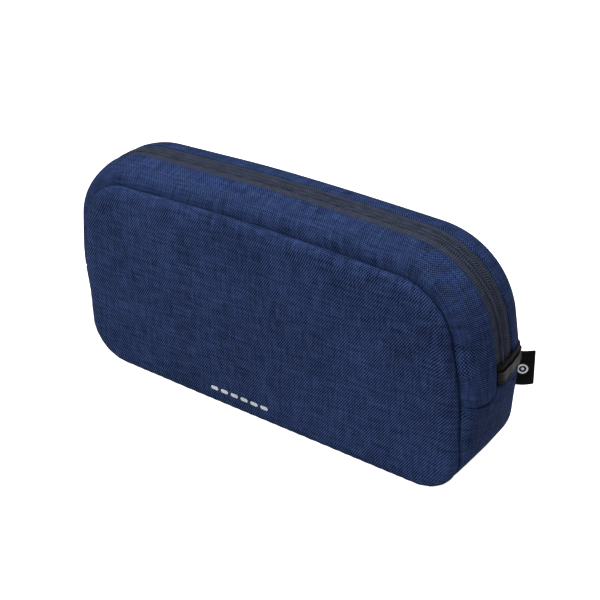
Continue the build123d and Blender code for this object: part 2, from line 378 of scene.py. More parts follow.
def woven(name, dark, light, pitches, depth, roughness=0.9, specular=0.1, slub=0.5, twill=0.7):
    """Weave of unequal yarns: each float steps along the last, so a faint diagonal shows."""
    mix = Recipe(name, roughness, specular)
    along, across = mix.cloth_axes()
    warp_turn = mix.math("MULTIPLY", along, 2 * math.pi / pitches[0])
    weft_turn = mix.math("MULTIPLY", across, 2 * math.pi / pitches[1])
    diagonal = mix.math("SINE", mix.math("SUBTRACT", warp_turn, weft_turn))
    crossing = mix.math("MULTIPLY", mix.math("SINE", warp_turn), mix.math("SINE", weft_turn))
    weave = mix.math("MULTIPLY_ADD", crossing, 1 - twill, mix.math("MULTIPLY", diagonal, twill))
    warp = mix.stretched(along, across, 90, 1.2 / pitches[1])
    weft = mix.stretched(along, across, 1.2 / pitches[0], 90)
    yarns = mix.math("MULTIPLY", mix.math("ADD", warp, weft), slub)
    slow = mix.grain(mix.object_point(), 28.0, 3.0)
    share = mix.math("MULTIPLY_ADD", weave, 0.5, 0.5)
    share = mix.math("ADD", share, mix.math("SUBTRACT", yarns, slub))
    share = mix.math("ADD", share, mix.math("MULTIPLY_ADD", slow, 0.3, -0.15))
    share.node.use_clamp = True
    share = mix.math("POWER", share, 1.6)
    mix.colour(mix.blend_colours(share, dark, light))
    mix.relief(mix.math("MULTIPLY_ADD", weave, 0.5, mix.math("MULTIPLY", yarns, 0.5)), depth)
    return mix.material


def ribbed(name, dark, light, pitch, cross_pitch, depth, roughness=0.75, specular=0.12):
    """Ribs that run across the length of a tape, ribbon or elastic."""
    mix = Recipe(name, roughness, specular)
    along, across = mix.cloth_axes()
    ribs = mix.wave(along, pitch)
    threads = mix.wave(across, cross_pitch)
    height = mix.math("MULTIPLY_ADD", ribs, 0.35, mix.math("MULTIPLY", threads, 0.15))
    slow = mix.grain(mix.object_point(), 400.0, 2.0)
    share = mix.math("ADD", mix.math("ADD", height, 0.2), mix.math("MULTIPLY", slow, 0.6))
    share.node.use_clamp = True
    mix.colour(mix.blend_colours(share, dark, light))
    mix.relief(height, depth)
    return mix.material


def moulded(name, dark, light, roughness, specular=0.5, metallic=0.0, scale=900.0, depth=0.00003):
    """Plastic or lacquered metal with a fine uneven skin."""
    mix = Recipe(name, roughness, specular, metallic=metallic)
    point = mix.object_point()
    fine = mix.grain(point, scale, 3.0)
    mix.colour(mix.blend_colours(mix.grain(point, 120.0, 2.0), dark, light))
    mix.feed(mix.shader.inputs["Roughness"], mix.math("MULTIPLY_ADD", fine, 0.25, roughness - 0.12))
    mix.relief(fine, depth, 0.6)
    return mix.material


navy_dark, navy_light = linear(0, 4, 19), linear(58, 77, 125)
navy_cloth = woven(
    "navy_cloth", navy_dark, navy_light,
    (0.00124, 0.00182), 0.00022, specular=0.05, twill=0.6)
gusset_navy = woven(
    "gusset_navy", navy_dark, navy_light,
    (0.0012, 0.00135), 0.00018, specular=0.05, twill=0.2)
lining_cloth = woven(
    "lining_cloth", linear(60, 63, 70), linear(98, 102, 110),
    (0.0005, 0.0005), 0.00006, 0.7, 0.2)
binding_cloth = ribbed("binding_cloth", linear(18, 19, 24), linear(42, 44, 52), 0.0012, 0.0006, 0.00012)
tape_cloth = ribbed("tape_cloth", linear(12, 15, 25), linear(58, 64, 82), 0.0011, 0.0007, 0.00014)
tooth_nylon = moulded("tooth_nylon", linear(24, 28, 40), linear(48, 54, 70), 0.5, 0.3)
ribbon_satin = ribbed(
    "ribbon_satin", linear(1, 1, 1), linear(9, 9, 9),
    0.0007, 0.0004, 0.00003, 0.42, 0.12)
label_weave = woven(
    "label_weave", linear(4, 4, 5), linear(26, 26, 27),
    (0.0006, 0.0006), 0.00008, 0.85, 0.08)
foam_grey = moulded(
    "foam_grey", linear(60, 60, 62), linear(80, 80, 82),
    0.9, 0.2, scale=1500.0, depth=0.0002)
lacquered_zinc = moulded("lacquered_zinc", linear(22, 23, 26), linear(34, 35, 38), 0.34, 0.6, 0.4)
grip_rubber = moulded("grip_rubber", linear(20, 21, 24), linear(32, 33, 37), 0.62)
print_grey = moulded("print_grey", linear(168, 170, 174), linear(196, 198, 202), 0.5, 0.4)
print_white = moulded("print_white", linear(226, 227, 229), linear(240, 240, 241), 0.6, 0.3)
rib_yarn = moulded(
    "rib_yarn", linear(18, 22, 33), linear(60, 66, 84),
    0.85, 0.1, scale=2200.0, depth=0.0001)
# Near-black matt ribbon for the covers' flat under layer: painted shade, since its top reaches above the
# satin fold where the fold's shadow falls
ribbon_dull = ribbed(
    "ribbon_dull", linear(2, 2, 3), linear(12, 12, 13),
    0.0007, 0.0004, 0.00005, 0.7, 0.1)
net_yarn = moulded("net_yarn", linear(26, 27, 31), linear(44, 46, 52), 0.75, 0.3)
elastic_rib = ribbed("elastic_rib", linear(20, 21, 24), linear(46, 47, 52), 0.0011, 0.0007, 0.0002)


# ---------------------------------------------------------------- where sewn pieces are placed

def follow_front(piece):
    """Bakes the placement of a piece of the front half into its mesh, where it stands."""
    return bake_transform(piece)


def settle(piece, side, slot, *nodes):
    """Places a sewn piece by its side: a rear piece hangs from the root body, a front piece is baked where
    it stands; the CAD nodes it stands for are hidden. slot is not used.
    """
    if side == FRONT:
        follow_front(piece)
    else:
        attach(piece, "root")
    if nodes:
        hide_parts(*nodes)
    return piece


# ---------------------------------------------------------------- gusset, strips and tapes

END_LENGTH = length_at(STRIP_END)
TAPE_END_LENGTH = length_at(TAPE_END)


def strip_low(y):
    """Where a strip's lower end lies at depth y: it turns up in a round corner beside the zipper."""
    reach = TAPE_SHOW - abs(y - ZIP_Y)
    if reach >= 0:
        return END_LENGTH + STRIP_CORNER
    into = min(-reach, STRIP_CORNER)
    return END_LENGTH + STRIP_CORNER - math.sqrt(STRIP_CORNER ** 2 - (STRIP_CORNER - into) ** 2)


def gusset_sheet(name, columns, low, high, outer, inner, material, turned=(), uneven=0.0, ridge=None):
    """Shell that follows the gusset between two insets.

    columns are depths y, and low and high give its ends at a depth. turned names the edges that turn
    into a seam: "first", "last" and "ends".
    """
    spans = [(low(y), high(y)) for y in columns]
    shares = edge_spacing(max(b - a for a, b in spans), 0.0022)
    shares = shares / shares[-1]
    count = len(shares)
    faces = np.zeros((2, count, len(columns), 3))
    uv = np.zeros((count, len(columns), 2))
    across = 0.0
    before = None
    for j, y in enumerate(columns):
        bulge = bulge_at(y)
        lengths = spans[j][0] + (spans[j][1] - spans[j][0]) * shares
        ahead = place(lengths + 0.0004, bulge, outer) - place(lengths - 0.0004, bulge, outer)
        normals = unit(np.stack([ahead[:, 1], -ahead[:, 0]], -1))
        points = place(lengths, bulge, outer)
        sink = np.zeros(count)
        if "first" in turned:
            sink = np.maximum(sink, turned_in(abs(y - columns[0])))
        if "last" in turned:
            sink = np.maximum(sink, turned_in(abs(y - columns[-1])))
        if "ends" in turned:
            from_end = np.minimum(lengths - spans[j][0], spans[j][1] - lengths)
            sink = np.maximum(sink, turned_in(from_end))
        lift = ridge(y) if ridge else 0.0
        spot = np.stack([points[:, 0], np.full(count, y), points[:, 1]], -1)
        wander = soften(spot, uneven, 0.045, 2) if uneven else 0.0
        moved = points + normals * (lift + wander - np.minimum(sink, (inner - outer) * 0.9))[:, None]
        under = place(lengths, bulge, inner)
        if uneven:
            under = under + normals * np.minimum(wander, 0)[:, None]
        here = np.array([bulge, y])
        if before is not None:
            across += float(np.linalg.norm(here - before))
        before = here
        for layer, flat in enumerate((moved, under)):
            faces[layer, :, j, 0] = flat[:, 0]
            faces[layer, :, j, 1] = y
            faces[layer, :, j, 2] = flat[:, 1]
        uv[:, j, 0] = lengths
        uv[:, j, 1] = across
    return grid_shell(name, faces[0], faces[1], uv, material)


def from_end(low):
    """The matching place at the left end."""
    return lambda y: PERIMETER - low(y)


def strip_columns(side, inner_reach):
    """Depths from the zipper side out to the seam."""
    inner_y = ZIP_Y + side * inner_reach
    return inner_y + side * edge_spacing(abs(side * SEAM_Y - inner_y), 0.0019)


def flat_end(length):
    return lambda y: length


def zipper_strip(side):
    word = WORDS[side]
    strip = gusset_sheet(
        f"{word}_zip_strip_cloth", strip_columns(side, TAPE_SHOW), strip_low, from_end(strip_low),
        0.0, FABRIC, gusset_navy, ("first", "last", "ends"), 0.0003)
    settle(strip, side, "outer_fabric", f"{word}_zip_strip")
    foam_columns = strip_columns(side, TAPE_SHOW + TAPE_TUCK + 0.0003)
    foam = gusset_sheet(
        f"{word}_strip_foam_layer", foam_columns, flat_end(END_LENGTH), from_end(flat_end(END_LENGTH)),
        FABRIC + 0.0003, FOAM_INNER, foam_grey)
    settle(foam, side, "foam", f"{word}_strip_foam")
    inside = gusset_sheet(
        f"{word}_strip_lining_cloth", strip_columns(side, TAPE_SHOW), strip_low, from_end(strip_low),
        FOAM_INNER, LINING_INNER, lining_cloth)
    settle(inside, side, "lining_fabric", f"{word}_strip_lining")


def tape_ridge(y):
    """The tape stands up over the coil sewn behind it."""
    reach = abs(y - ZIP_Y)
    return 0.00035 * math.exp(-((reach - 0.0016) / 0.0012) ** 2)


def zipper_tape(side):
    word = WORDS[side]
    first = ZIP_Y + side * TEETH_GAP
    columns = first + side * edge_spacing(TAPE_SHOW + TAPE_TUCK - TEETH_GAP, 0.0007)
    band = gusset_sheet(
        f"{word}_zip_tape_cloth", columns, flat_end(TAPE_END_LENGTH), from_end(flat_end(TAPE_END_LENGTH)),
        FABRIC, FABRIC + TAPE, tape_cloth, (), 0.0, tape_ridge)
    settle(band, side, "zip_tape", f"{word}_zip_tape")


def bottom_gusset():
    """The base and both lower ends, in one length of cloth with a tongue up to each end of the zipper."""
    columns = -SEAM_Y + edge_spacing(2 * SEAM_Y, 0.0014)
    layers = (
        ("bottom_gusset_cloth", "bottom_gusset", "outer_fabric", 0.0, FABRIC, gusset_navy,
         ("first", "last", "ends"), 0.0003),
        ("bottom_gusset_foam_layer", "bottom_gusset_foam", "foam", FABRIC + 0.0003, FOAM_INNER,
         foam_grey, (), 0.0),
        ("bottom_gusset_lining_cloth", "bottom_gusset_lining", "lining_fabric", FOAM_INNER, LINING_INNER,
         lining_cloth, (), 0.0),
    )
    for name, node, slot, outer, inner, material, turned, uneven in layers:
        sheet = gusset_sheet(
            name, columns, lambda y: strip_low(y) * -1 + 0.0002, lambda y: strip_low(y) - 0.0002,
            outer, inner, material, turned, uneven)
        settle(sheet, FRONT, slot, node)


def tube_ring(name, rows, uvs, material):
    """Closed tube round a closed path. rows is (path points, section points, 3)."""
    count, section = rows.shape[:2]
    faces = []
    for i in range(count):
        after = (i + 1) % count
        for j in range(section):
            k = (j + 1) % section
            faces.append((i * section + j, i * section + k, after * section + k, after * section + j))
    return new_piece(name, rows.reshape(-1, 3), faces, uvs, material)


def round_section(width, height, steps, square=3.0):
    """Points of a cushion-shaped section, as (across, up)."""
    turns = np.linspace(0, 2 * math.pi, steps, endpoint=False)
    across = np.sign(np.cos(turns)) * np.abs(np.cos(turns)) ** (2 / square) * width / 2
    up = np.sign(np.sin(turns)) * np.abs(np.sin(turns)) ** (2 / square) * height / 2
    return np.stack([across, up], -1)


def seam_binding(side):
    """Folded tape that binds the seam allowance, all round inside a seam."""
    section = round_section(0.003, 0.0014, 12)
    middle = PANEL_LINING_INNER + 0.0007
    base = outline(0.0, middle)
    lengths = path_lengths(base)
    rows = np.zeros((len(base), len(section), 3))
    uv = np.zeros((len(base), len(section), 2))
    for j, (across, up) in enumerate(section):
        edge = outline(0.0, middle + up)
        rows[:, j] = np.stack([edge[:, 0], np.full(len(edge), side * SEAM_Y + across), edge[:, 1]], -1)
        uv[:, j] = np.stack([lengths, np.full(len(edge), across + up)], -1)
    binding = tube_ring(f"{WORDS[side]}_seam_binding_tape", rows, uv.reshape(-1, 2), binding_cloth)
    settle(binding, side, "binding_tape", f"{WORDS[side]}_seam_binding")


# ---------------------------------------------------------------- padded panels

PANEL_MIDDLE = np.array([0.0, (CREST_HEIGHT - BULGE) / 2])
ROLL_STEPS = np.radians([0, 3, 7, 12, 18, 25, 33, 42, 51, 60, 69, 78, 85, 90])
CROWN_STEPS = (0.045, 0.1, 0.17, 0.25, 0.34, 0.43, 0.52, 0.61, 0.7, 0.79, 0.87, 0.94, 0.985)
PUCKER = 0.00016
PUCKER_PITCH = 0.0062
PUCKER_REACH = 0.007


def panel_face(side, depth, tuck):
    """Rings of points on a panel layer, `depth` inside its outer face, with their cloth coordinates."""
    roll_height = PANEL_CROWN * ROLL_SHARE
    crown_height = PANEL_CROWN * (1 - ROLL_SHARE)
    inner_ring = outline(0.0, ROLL_WIDTH)
    seam_ring = outline(0.0, 0.0)
    outward = unit(seam_ring - inner_ring)
    lengths = path_lengths(seam_ring)
    rings, cloths = [], []
    arc = (roll_height + ROLL_WIDTH) / 2 * math.pi / 2
    for turn in ROLL_STEPS:
        height = (roll_height - depth) * math.sin(turn)
        inset = depth + (ROLL_WIDTH - depth) * (1 - math.cos(turn))
        if tuck:
            inset += FABRIC * 0.9 * max(0.0, 1 - height / SEAM_TURN) ** 2
        flat = outline(0.0, inset)
        away = arc * (1 - turn / (math.pi / 2))
        pucker = 0.0
        if tuck:
            from_seam = arc - away
            fade = math.exp(-((from_seam - 0.0022) / PUCKER_REACH * 2.2) ** 2)
            fade *= min(1.0, from_seam / 0.001)
            drift = soften(np.stack([flat[:, 0], flat[:, 1], flat[:, 0] * 0], -1), 5.0, 0.022, 4 + side)
            pucker = PUCKER * fade * np.sin(lengths * 2 * math.pi / PUCKER_PITCH + drift)
        depths = np.broadcast_to(side * (SEAM_Y + height + pucker), len(flat))
        rings.append(np.stack([flat[:, 0], depths, flat[:, 1]], -1))
        cloths.append(inner_ring + outward * away)
    for share in CROWN_STEPS:
        flat = PANEL_MIDDLE + (inner_ring - PANEL_MIDDLE) * (1 - share)
        height = roll_height - depth + crown_height * (1 - math.cos(math.pi * share)) / 2
        rings.append(np.stack([flat[:, 0], np.full(len(flat), side * (SEAM_Y + height)), flat[:, 1]], -1))
        cloths.append(flat)
    return np.array(rings), np.array(cloths)


def panel_layer(name, side, outer, inner, material, tuck=False, uneven=0.0):
    top, cloth = panel_face(side, outer, tuck)
    under, _ = panel_face(side, inner, False)
    if uneven:
        from_seam = np.minimum(np.abs(top[..., 1]) - SEAM_Y, 0.003) / 0.003
        wander = soften(top, uneven, 0.055, 8 + side) + soften(top, uneven * 0.35, 0.02, 12 + side)
        wander = np.minimum(wander * from_seam, uneven * 0.4)
        top[..., 1] += side * wander
        under[..., 1] += side * np.minimum(wander, 0)
    return ring_shell(name, top, under, cloth, tuple(PANEL_MIDDLE), material)


def padded_panel(side):
    word = WORDS[side]
    cover = panel_layer(f"{word}_panel_cloth", side, 0.0, FABRIC, navy_cloth, True, 0.0006)
    settle(cover, side, "outer_fabric", f"{word}_panel")
    foam = panel_layer(f"{word}_foam_pad_layer", side, FABRIC + 0.0004, PANEL_FOAM_INNER, foam_grey)
    settle(foam, side, "foam", f"{word}_foam_pad")
    inside = panel_layer(f"{word}_lining_cloth", side, PANEL_FOAM_INNER, PANEL_LINING_INNER, lining_cloth)
    settle(inside, side, "lining_fabric", f"{word}_lining")


# ---------------------------------------------------------------- what repeats

def new_tree(name, sizes, counts):
    """A tree with a mesh in and out, that takes sizes, counts and a material."""
    tree = bpy.data.node_groups.new(name, "GeometryNodeTree")
    sockets = [("Geometry", "Geometry")]
    sockets += [(title, "Float") for title in sizes]
    sockets += [(title, "Int") for title in counts]
    sockets += [("Material", "Material")]
    for title, kind in sockets:
        tree.interface.new_socket(title, in_out="INPUT", socket_type=f"NodeSocket{kind}")
    tree.interface.new_socket("Geometry", in_out="OUTPUT", socket_type="NodeSocketGeometry")
    return tree


def beads_tree():
    """Beads on points, each turned by the point's own turn: zipper teeth and the ribs woven over them."""
    tree = new_tree("beads_on_points", ("Length", "Width", "Height"), ("Segments", "Rings"))
    add = tree.nodes.new
    entry, out = add("NodeGroupInput"), add("NodeGroupOutput")
    bead, points = add("GeometryNodeMeshUVSphere"), add("GeometryNodeInstanceOnPoints")
    size, turn = add("ShaderNodeCombineXYZ"), add("GeometryNodeInputNamedAttribute")
    to_turn, smooth = add("FunctionNodeEulerToRotation"), add("GeometryNodeSetShadeSmooth")
    real, paint = add("GeometryNodeRealizeInstances"), add("GeometryNodeSetMaterial")
    turn.data_type = "FLOAT_VECTOR"
    turn.inputs["Name"].default_value = "turn"
    bead.inputs["Radius"].default_value = 0.5
    for source, target in (
        (entry.outputs["Geometry"], points.inputs["Points"]),
        (entry.outputs["Segments"], bead.inputs["Segments"]),
        (entry.outputs["Rings"], bead.inputs["Rings"]),
        (bead.outputs["Mesh"], smooth.inputs["Geometry"]),
        (smooth.outputs["Geometry"], points.inputs["Instance"]),
        (entry.outputs["Length"], size.inputs["X"]),
        (entry.outputs["Width"], size.inputs["Y"]),
        (entry.outputs["Height"], size.inputs["Z"]),
        (size.outputs[0], points.inputs["Scale"]),
        (turn.outputs["Attribute"], to_turn.inputs[0]),
        (to_turn.outputs[0], points.inputs["Rotation"]),
        (points.outputs["Instances"], real.inputs["Geometry"]),
        (real.outputs["Geometry"], paint.inputs["Geometry"]),
        (entry.outputs["Material"], paint.inputs["Material"]),
        (paint.outputs["Geometry"], out.inputs["Geometry"]),
    ):
        tree.links.new(source, target)
    return tree


def apply_tree(name, base, tree, values):
    """Runs a tree on a mesh and keeps its result as a plain mesh."""
    maker = bpy.data.objects.new(name + "_maker", base)
    bpy.context.scene.collection.objects.link(maker)
    modifier = maker.modifiers.new("maker", "NODES")
    modifier.node_group = tree
    for item in tree.interface.items_tree:
        if item.in_out == "INPUT" and item.name in values:
            modifier[item.identifier] = values[item.name]
    bpy.context.view_layer.update()
    depsgraph = bpy.context.evaluated_depsgraph_get()
    made = bpy.data.meshes.new_from_object(
        maker.evaluated_get(depsgraph), preserve_all_data_layers=True, depsgraph=depsgraph)
    made.name = name
    finish = made.materials[-1]
    made.materials.clear()
    made.materials.append(finish)
    bpy.data.objects.remove(maker)
    piece = bpy.data.objects.new(name, made)
    bpy.context.scene.collection.objects.link(piece)
    return piece


beads = beads_tree()


def bead_lane(name, side, reach, inset, slant, start, end, sizes, segments, rings, material):
    """A row of beads along the zipper at a reach from its line, each turned by slant in the cloth."""
    length, width, height = sizes
    count = int((end - start) / TOOTH_PITCH)
    lengths = start + (np.arange(count) + 0.5) * TOOTH_PITCH
    y = ZIP_Y + side * reach
    bulge = bulge_at(y)
    spots = place(lengths, bulge, inset)
    ahead = unit(place(lengths + 0.0004, bulge, inset) - place(lengths - 0.0004, bulge, inset))
    cloud = bpy.data.meshes.new(name + "_points")
    cloud.from_pydata([(p[0], y, p[1]) for p in spots], [], [])
    turns = cloud.attributes.new("turn", "FLOAT_VECTOR", "POINT")
    values = []
    for along in ahead:
        along3 = Vector((along[0], 0, along[1]))
        out = Vector((along[1], 0, -along[0]))
        across = out.cross(along3)
        leaned = across * math.cos(slant) + along3 * math.sin(slant) * side
        beside = out.cross(leaned)
        frame_of = Matrix((-beside, leaned, out)).transposed()
        if frame_of.determinant() < 0:
            frame_of = Matrix((beside, leaned, out)).transposed()
        values += list(frame_of.to_euler())
    turns.data.foreach_set("vector", values)
    return apply_tree(name, cloud, beads, {
        "Length": length, "Width": width, "Height": height, "Segments": segments, "Rings": rings,
        "Material": material})


def zipper_teeth(side):
    """The coil inside, and outside the slanted ribs where it is sewn through the tape."""
    word = WORDS[side]
    start, end = TAPE_END_LENGTH + 0.003, PERIMETER - TAPE_END_LENGTH - 0.0005
    ribs = bead_lane(
        f"{word}_tape_ribs", side, 0.0021, FABRIC - 0.00025, math.radians(24), TAPE_END_LENGTH, end,
        (0.00095, 0.0029, 0.0009), 8, 5, rib_yarn)
    settle(ribs, side, "zip_tape")
    step = TOOTH_PITCH / 2 if side == REAR else 0.0
    lanes = [
        bead_lane(
            f"{word}_{state}_teeth", side, reach, FABRIC + TAPE + 0.00075, 0.0, first + step, last,
            (0.0009, width, 0.0015), 8, 8, tooth_nylon)
        for state, reach, first, last, width in (
            ("closed", 0.00105, start, PARTED, 0.0027), ("parted", 0.00155, PARTED, TEETH_END, 0.0021))
    ]
    teeth = joined(f"{word}_coil_teeth", lanes)
    settle(teeth, side, "coil_plastic", f"{word}_coil")


# ---------------------------------------------------------------- ribbons over the zipper's ends

COVER_LOW, COVER_HIGH = 0.0575, 0.0670
COVER_RISE = 0.001         # from its front edge to the rear seam
COVER_FRONT = ZIP_Y - TAPE_SHOW + 0.0003


def end_ribbon(hand, word, low, high, under, top, rim, material):
    """One layer of a folded ribbon across a zipper end.

    low and high are heights at its front edge, under and top its two faces past the gusset, and rim how
    far its folded edges stand up.
    """
    columns = COVER_FRONT + edge_spacing(SEAM_Y - 0.0004 - COVER_FRONT, 0.0011)
    shares = np.array([0, 0.012, 0.05, 0.1, 0.16, 0.24, 0.36, 0.5, 0.64, 0.76, 0.84, 0.9, 0.95, 0.988, 1])
    edge = np.minimum(shares, 1 - shares)
    rise = rim * np.exp(-((edge - 0.07) / 0.05) ** 2)
    round_off = (top - under) * 0.5 * np.clip(1 - edge / 0.03, 0, 1) ** 2
    upper = top + rise - rim - round_off
    lower = under + round_off
    rows, uv = [], []
    for y in columns:
        share = (y - COVER_FRONT) / (SEAM_Y - COVER_FRONT)
        base, crown = low + COVER_RISE * share, high + COVER_RISE * share
        heights = base + (crown - base) * shares
        lengths = np.array([length_at(h) for h in heights])
        if hand < 0:
            lengths = PERIMETER - lengths
        tuck = 0.0012 * max(0.0, 1 - (y - COVER_FRONT) / 0.0022) ** 2
        slack = 0.00012 * math.sin(y * 900 + low * 400)
        bulge = bulge_at(y)
        loop = []
        for faces in (upper, lower[::-1]):
            ordered = lengths if faces is upper else lengths[::-1]
            for length, lift in zip(ordered, faces):
                x, z = place(np.array([length]), bulge, -(lift + slack * (lift > under)) + tuck)[0]
                loop.append((x, y, z))
        rows.append(loop)
        across = np.concatenate([heights, heights[::-1]])
        uv.append(np.stack([np.full(len(across), y), across], -1))
    name = f"{word}_{material.name}_{'fold' if rim else 'layer'}"
    return lofted(name, np.array(rows), material, np.array(uv))


def lofted(name, rows, material, uv=None):
    """Closed body through sections of points, shut by a fan at each end. rows is (sections, points, 3)."""
    count, section = rows.shape[:2]
    verts = list(rows.reshape(-1, 3)) + [rows[0].mean(0), rows[-1].mean(0)]
    uvs = None
    if uv is not None:
        uvs = list(uv.reshape(-1, 2)) + [uv[0].mean(0), uv[-1].mean(0)]
    faces = []
    for i in range(count - 1):
        for j in range(section):
            k = (j + 1) % section
            faces.append((i * section + j, i * section + k, (i + 1) * section + k, (i + 1) * section + j))
    first, last = count * section, (count - 1) * section
    for j in range(section):
        k = (j + 1) % section
        faces.append((k, j, first))
        faces.append((last + j, last + k, first + 1))
    return new_piece(name, verts, faces, uvs, material)


def end_ribbons():
    for hand, word in ((-1, "left"), (1, "right")):
        # The flat layer is partly a real under layer of ribbon; its near-black top, above the satin fold, is
        # painted shade standing in for the fold's shadow
        flat = end_ribbon(hand, word, COVER_LOW, COVER_HIGH, 0.00002, 0.0006, 0.0, ribbon_dull)
        fold = end_ribbon(
            hand, word, COVER_LOW - 0.0002, COVER_LOW + 0.0062, 0.00065, 0.0013, 0.0003, ribbon_satin)
        settle(flat, REAR, "cover_ribbon", f"{word}_zip_end_cover")
        settle(fold, REAR, "cover_ribbon")


# ---------------------------------------------------------------- side tab

LABEL_REACH = 0.0114
LABEL_ANGLE = math.radians(32)
LABEL_LOW, LABEL_HIGH = 0.0381, 0.0567


def label_root():
    """Where the tab leaves the rear seam, half way up it."""
    middle = (LABEL_LOW + LABEL_HIGH) / 2
    return np.array([place(np.array([length_at(middle)]), 0.0)[0][0], SEAM_Y])


def on_label(reach, off, z):
    """A point at a reach from the seam and a distance off the tab's middle plane, toward the front."""
    along = np.array([math.cos(LABEL_ANGLE), math.sin(LABEL_ANGLE)])
    front = np.array([math.sin(LABEL_ANGLE), -math.cos(LABEL_ANGLE)])
    flat = label_root() + along * reach + front * (off + 0.0003 * math.sin(reach * 260))
    return (flat[0], flat[1], z)


def side_tab():
    """Woven tab, folded at its outer end, its two layers sewn into the rear seam."""
    cloth, gap = 0.0006, 0.00022
    fold = cloth + gap / 2
    bend = fold - cloth / 2
    line = [(reach, bend) for reach in np.linspace(-0.0006, LABEL_REACH - fold, 16)]
    turns = np.linspace(math.pi / 2, -math.pi / 2, 9)[1:-1]
    line += [(LABEL_REACH - fold + math.cos(a) * bend, math.sin(a) * bend) for a in turns]
    line += [(reach, -fold + cloth / 2) for reach in np.linspace(LABEL_REACH - fold, -0.0006, 16)]
    line = np.array(line)
    ahead = unit(np.gradient(line, axis=0))
    normal = np.stack([-ahead[:, 1], ahead[:, 0]], -1)
    path = path_lengths(line)
    heights = np.linspace(0, 1, 15)
    heights = np.sort(np.concatenate([heights, [0.012, 0.988]]))
    rows, uv = [], []
    for i in range(len(line)):
        droop = 0.0006 * math.sin(math.pi * min(max(line[i, 0], 0) / LABEL_REACH, 1))
        low, high = LABEL_LOW + 0.0006 - droop, LABEL_HIGH - 0.0002 - droop * 0.5
        section, cloths = [], []
        for hand, shares in ((1, heights), (-1, heights[::-1])):
            for share in shares:
                thin = 0.6 if share in (0, 1) else 1.0
                reach, off = line[i] + normal[i] * hand * cloth / 2 * thin
                z = low + (high - low) * share
                section.append(on_label(reach, off, z))
                cloths.append((path[i], z))
        rows.append(section)
        uv.append(cloths)
    tab = lofted("side_label_tab", np.array(rows), label_weave, np.array(uv))
    settle(tab, REAR, "label_ribbon", "side_label")


def ring_on(points_at, centre, outer, inner, steps=40):
    """Flat printed ring with a thin raised body, on a surface given by points_at(u, v, lift)."""
    low, edge, crown = 0.00002, 0.00011, 0.00014
    profile = ((inner, low), (inner, edge), ((inner + outer) / 2, crown), (outer, edge), (outer, low))
    return np.array([
        [points_at(centre[0] + radius * math.cos(a), centre[1] + radius * math.sin(a), lift)
         for radius, lift in profile]
        for a in np.linspace(0, 2 * math.pi, steps, endpoint=False)
    ])


def tab_mark():
    """Plain ring with a dot inside, woven white on the tab's front."""
    front = 0.0006 + 0.00011

    def spot(u, v, lift):
        return on_label(u, front + lift, v)

    middle = (0.0058, (LABEL_LOW + LABEL_HIGH) / 2 - 0.0002)
    ring = tube_ring("side_label_ring", ring_on(spot, middle, 0.0026, 0.0017), None, print_white)
    settle(ring, REAR, "print_ink", "side_label_mark")
    dot = lofted("side_label_dot", np.array([
        [spot(middle[0] + r * math.cos(a), middle[1] + r * math.sin(a), lift)
         for a in np.linspace(0, 2 * math.pi, 20, endpoint=False)]
        for r, lift in ((0.0006, 0.00001), (0.0008, 0.00004), (0.0007, 0.00013))
    ]), print_white)
    settle(dot, REAR, "print_ink")


# ---------------------------------------------------------------- printed dashes on the front

def front_dashes(panel):
    """Row of plain rounded dashes printed low on the front panel."""
    surface = panel.data
    tree = BVHTree.FromPolygons([v.co for v in surface.vertices], [p.vertices for p in surface.polygons])
    count, length, height, gap = 6, 0.0046, 0.0021, 0.0017
    straight = (length - height) / 2
    start = -0.0102 - (count * length + (count - 1) * gap) / 2
    turns = np.linspace(0, 2 * math.pi, 36, endpoint=False)
    verts, faces = [], []
    for n in range(count):
        middle = start + n * (length + gap) + length / 2
        base = len(verts)
        rings = ((1.0, -0.00003), (1.0, 0.00007), (0.9, 0.0001), (0.45, 0.0001))
        for scale, lift in rings:
            for a in turns:
                stretch = math.copysign(straight, math.cos(a)) * min(1, abs(math.cos(a)) * 12)
                u = math.cos(a) * height / 2 * scale + stretch
                v = math.sin(a) * height / 2 * scale
                hit, normal, _, _ = tree.ray_cast(Vector((middle + u, -0.1, 0.011 + v)), Vector((0, 1, 0)))
                if normal.y > 0:
                    normal = -normal
                verts.append(hit + normal * lift)
        size = len(turns)
        for k in range(len(rings) - 1):
            for j in range(size):
                a, b = base + k * size + j, base + k * size + (j + 1) % size
                faces.append((a, b, b + size, a + size))
        faces.append([base + (len(rings) - 1) * size + j for j in range(size)])
        faces.append([base + j for j in range(size)][::-1])
    dashes = new_piece("front_printed_dashes", verts, faces, None, print_grey)
    settle(dashes, FRONT, "print_ink", "front_mark")


# ---------------------------------------------------------------- slider and pull

joints = {joint["name"]: joint for joint in frame["record"]["behaviour"]["joints"]}
BEND = Vector(joints["slider_travel"]["pos_m"])
PIN = Vector(joints["pull_swing"]["pos_m"])
TRAVEL = math.radians(joints["slider_travel"]["range_deg"][1])
OUT = (PIN - BEND).normalized()
DOWN = OUT.cross(Vector((0, 1, 0)))
PIN_RADIUS = (PIN - BEND).length
PLATE_LOW = PIN_RADIUS - 0.0032
PLATE_HIGH = PIN_RADIUS - 0.0019
BEND_RADIUS = PIN_RADIUS - 0.00255
TEETH_END = PERIMETER - length_at(BEND.z) + 0.0085
PARTED = PERIMETER - length_at(BEND.z + OUT.z * BEND_RADIUS) - BEND_RADIUS * TRAVEL - 0.0025


def on_slider(across, down, out):
    """A point in the slider's frame: across the zipper, down the side, and out from the bend's centre."""
    point = BEND + Vector((0, across, 0)) + DOWN * down + OUT * out
    return tuple(point)


def slider_outline(steps, grow, long, wide, waist):
    """Rounded plate outline that is broad at its nose and narrower at its tail."""
    points = []
    for a in np.linspace(0, 2 * math.pi, steps, endpoint=False):
        c, s = math.cos(a), math.sin(a)
        down = math.copysign(abs(s) ** 0.62, s) * (long / 2 + grow)
        taper = 1 - waist * (0.5 + 0.5 * down / (long / 2)) ** 1.5
        across = math.copysign(abs(c) ** 0.62, c) * (wide / 2 * taper + grow)
        points.append((across, down))
    return points


